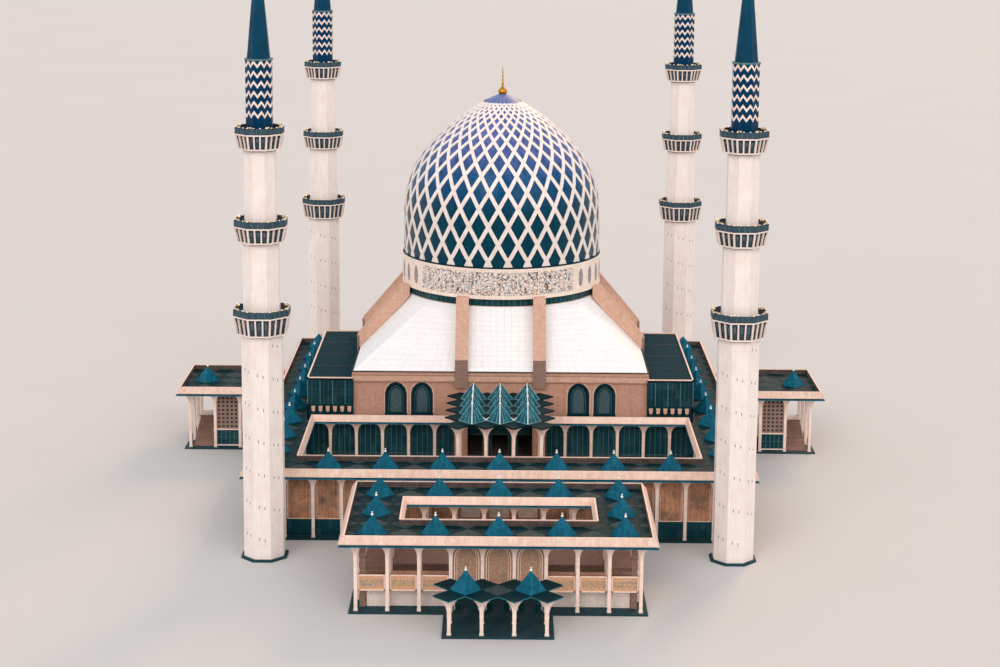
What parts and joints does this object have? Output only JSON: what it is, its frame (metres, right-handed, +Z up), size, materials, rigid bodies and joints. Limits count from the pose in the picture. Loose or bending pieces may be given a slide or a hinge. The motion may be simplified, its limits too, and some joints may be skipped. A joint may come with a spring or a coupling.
{
  "type": "scale model of a domed mosque (1:10)",
  "caption": "Domed mosque with ribbed skirt roof, glazed wings, open court, arcaded podium, entrance portico and free-standing minarets, as a 1:10 scale model.",
  "frame": {"origin": "ground level under the centre of the dome, on the underside of the floor slab", "axes": "+X to the right seen from the entrance, +Y from the entrance towards the dome and beyond, +Z up"},
  "size_m": [17.525, 21.286, 14.23],
  "materials": {
    "cream_stone": "honed",
    "brown_stone": "matt blocks",
    "white_panel": "satin",
    "teal_metal": "satin",
    "dark_roof": "matt",
    "dark_glass": "tinted",
    "pale_floor": "matt",
    "white_tile": "satin",
    "gold": "polished"
  },
  "bodies": {
    "root": {"clerestory": "cream_stone", "court_arcade_front": "cream_stone", "court_arcade_left": "cream_stone", "court_arcade_rear": "cream_stone", "court_arcade_right": "cream_stone", "court_canopy_columns": "cream_stone", "court_canopy_roof": "teal_metal", "court_glazing": "dark_glass", "court_rear_fascia": "cream_stone", "dome": "white_panel", "drum": "cream_stone", "entrance_canopy_columns": "cream_stone", "entrance_canopy_roof": "teal_metal", "finial": "gold", "ground_floor": "pale_floor", "hall_wall_front": "brown_stone", "hall_wall_left": "brown_stone", "hall_wall_rear": "brown_stone", "hall_wall_right": "brown_stone", "hall_window_glass": "dark_glass", "main_floor": "pale_floor", "minaret_front_left": "white_tile", "minaret_front_right": "white_tile", "minaret_rear_left": "white_tile", "minaret_rear_right": "white_tile", "pavilion_left_columns": "cream_stone", "pavilion_left_roof": "dark_roof", "pavilion_right_columns": "cream_stone", "pavilion_right_roof": "dark_roof", "podium_columns_front": "cream_stone", "podium_columns_left": "cream_stone", "podium_columns_rear": "cream_stone", "podium_columns_right": "cream_stone", "podium_roof_front": "dark_roof", "podium_roof_left": "dark_roof", "podium_roof_rear": "dark_roof", "podium_roof_right": "dark_roof", "podium_wall_front": "brown_stone", "podium_wall_left": "brown_stone", "podium_wall_rear": "brown_stone", "podium_wall_right": "brown_stone", "portico_balcony_left": "cream_stone", "portico_balcony_right": "cream_stone", "portico_columns_inner": "cream_stone", "portico_columns_outer": "cream_stone", "portico_roof": "dark_roof", "portico_screens": "brown_stone", "portico_terrace": "brown_stone", "roof_ribs": "brown_stone", "skirt_roof": "white_panel", "wing_left": "dark_glass", "wing_right": "dark_glass"}
  },
  "joints": []
}
